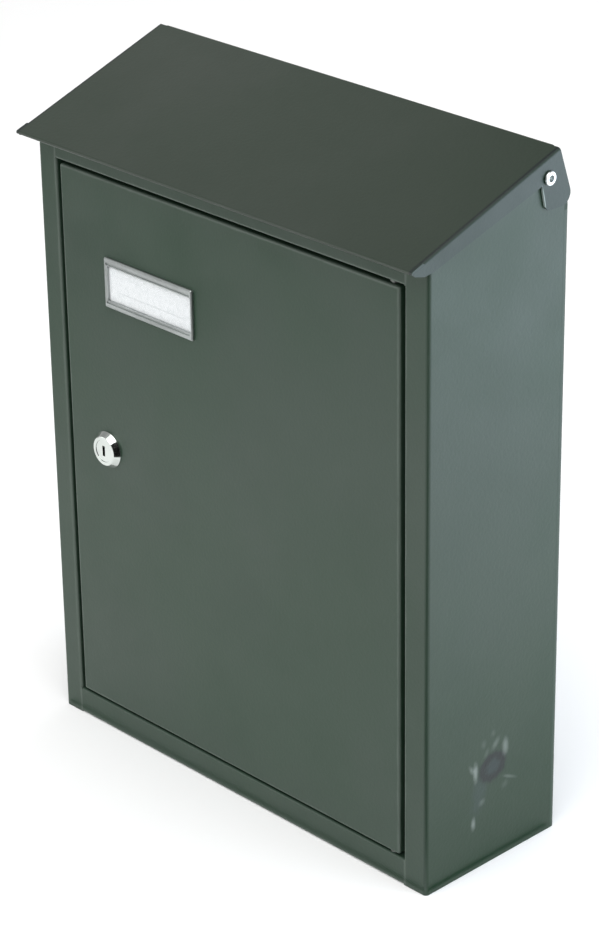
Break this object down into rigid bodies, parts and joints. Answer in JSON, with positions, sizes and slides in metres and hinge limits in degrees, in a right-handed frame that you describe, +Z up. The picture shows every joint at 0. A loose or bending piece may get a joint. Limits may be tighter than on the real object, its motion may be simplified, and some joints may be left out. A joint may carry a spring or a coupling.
{
  "type": "wall mounted mailbox",
  "caption": "Upright folded sheet-steel mailbox for a wall, with a sloping flap lid over the letter mouth, an inset front door on side pins, a key cam lock and a framed name label.",
  "frame": {"origin": "centre of the wall-screw pattern, on the back panel's face that lies against the wall", "axes": "+Z up; +Y out of the back panel into the wall, so the front faces -Y; +X to the right of someone who faces the front"},
  "size_m": [0.2658, 0.1017, 0.349],
  "materials": {
    "body_paint": "dark grey-green paint, satin",
    "lid_paint": "dark grey-green paint, satin",
    "zinc": "zinc plated steel",
    "rivet": "bright aluminium",
    "chrome": "polished chrome",
    "label_metal": "satin anodised aluminium",
    "card": "plain white card",
    "clear": "clear cover strip",
    "rubber": "black rubber",
    "brass": "plain brass"
  },
  "bodies": {
    "body": {"back_panel": "body_paint", "left_side_panel": "body_paint", "right_side_panel": "body_paint", "bottom_panel": "body_paint", "front_bottom_rail": "body_paint", "front_top_rail": "body_paint", "hinge_pins": "zinc", "hinge_washers": "zinc", "lid_rivets": "rivet", "lid_bumpers": "rubber", "door_bumpers": "rubber"},
    "lid": {"lid": "lid_paint"},
    "door": {"door_panel": "body_paint", "label_frame": "label_metal", "label_window": "clear", "label_card": "card", "label_clips": "zinc", "lock_housing": "chrome", "lock_nut": "zinc", "lock_washer": "zinc"},
    "lock": {"lock_plug": "chrome", "lock_wafers": "brass", "lock_cam": "zinc", "cam_screw": "zinc"}
  },
  "joints": [
    {"name": "lid_hinge", "type": "hinge", "parent": "body", "child": "lid", "pos_m": [0, -0.01603, 0.16679], "axis": [-1, 0, 0], "range_deg": [0, 110]},
    {"name": "door_hinge", "type": "hinge", "parent": "body", "child": "door", "pos_m": [0.107, -0.0865, 0], "axis": [0, 0, 1], "range_deg": [0, 120]},
    {"name": "lock_turn", "type": "hinge", "parent": "door", "child": "lock", "pos_m": [-0.087, -0.09, -0.01], "axis": [0, 1, 0], "range_deg": [0, 90]}
  ]
}
